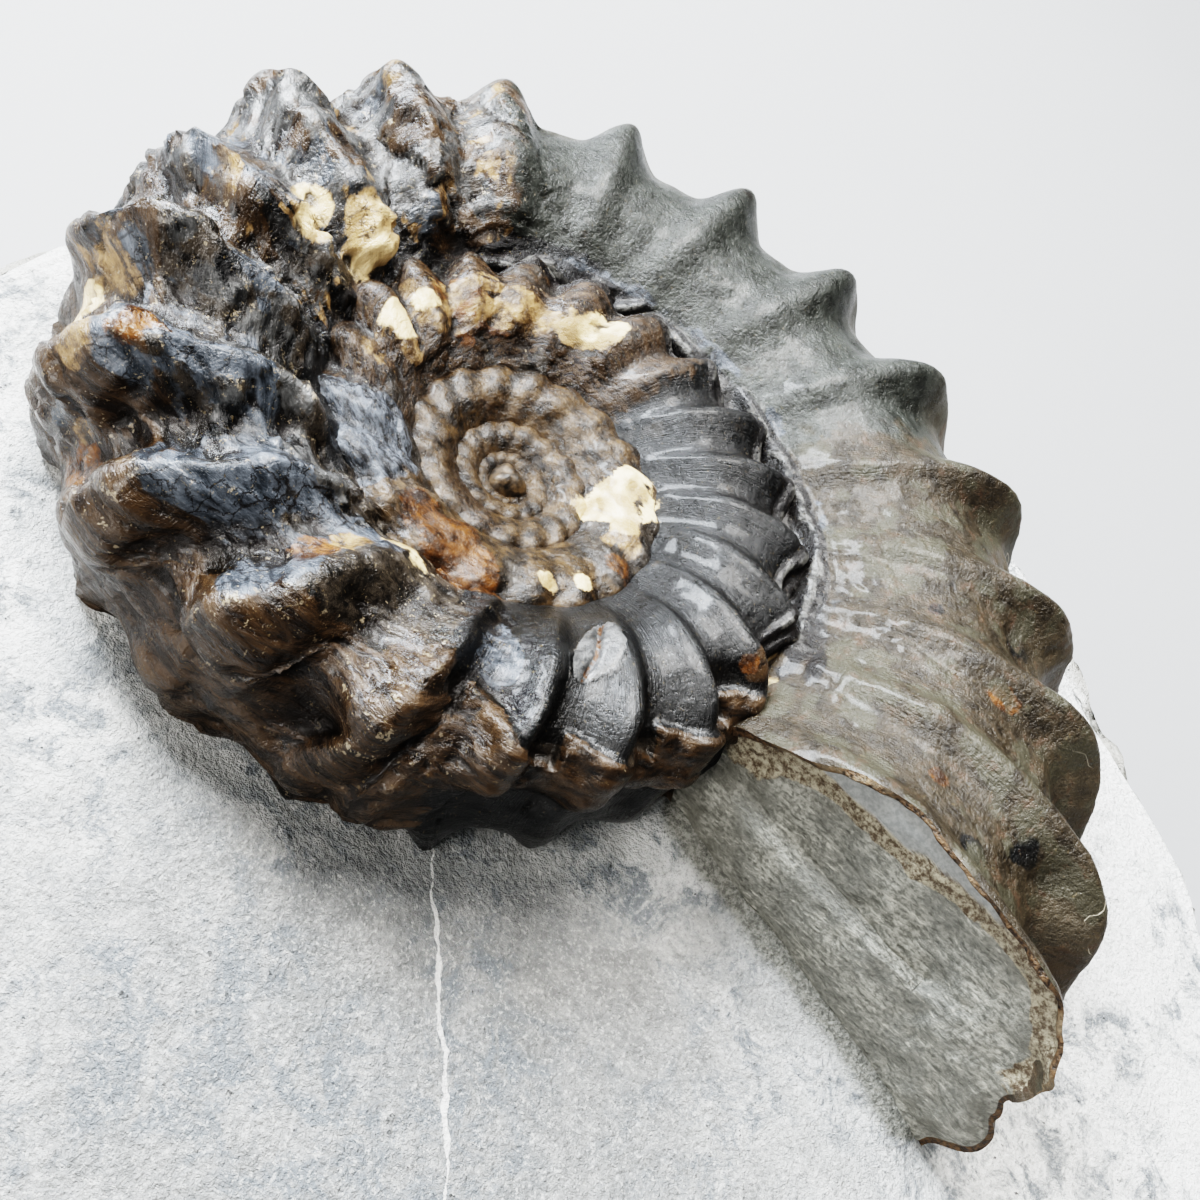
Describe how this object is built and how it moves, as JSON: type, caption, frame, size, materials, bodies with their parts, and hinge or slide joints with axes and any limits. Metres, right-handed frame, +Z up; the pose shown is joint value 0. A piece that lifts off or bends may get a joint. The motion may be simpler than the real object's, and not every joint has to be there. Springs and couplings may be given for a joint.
{
  "type": "fossil ammonite on matrix",
  "caption": "Loosely coiled, strongly ribbed fossil ammonite standing proud of a loose block of pale limestone, its broken mouth filled with grey stone; rests on its flat underside.",
  "frame": {"origin": "middle of the underside of the bounding box, on the flat underside of the limestone block", "axes": "+Z up, along the coil axis of the ammonite; +X along the long side of the block, from the coil towards the first full rib behind the mouth; +Y to the far side of the block from the open mouth"},
  "size_m": [0.1038, 0.0966, 0.044],
  "materials": {
    "fossil_shell": "glossy lacquered calcite, mottled black, brown, olive, gold and cream",
    "limestone": "matt, finely pitted by air abrasion, with grey blotches and a thin white calcite vein"
  },
  "bodies": {
    "root": {"ammonite": "fossil_shell", "matrix": "limestone"}
  },
  "joints": []
}
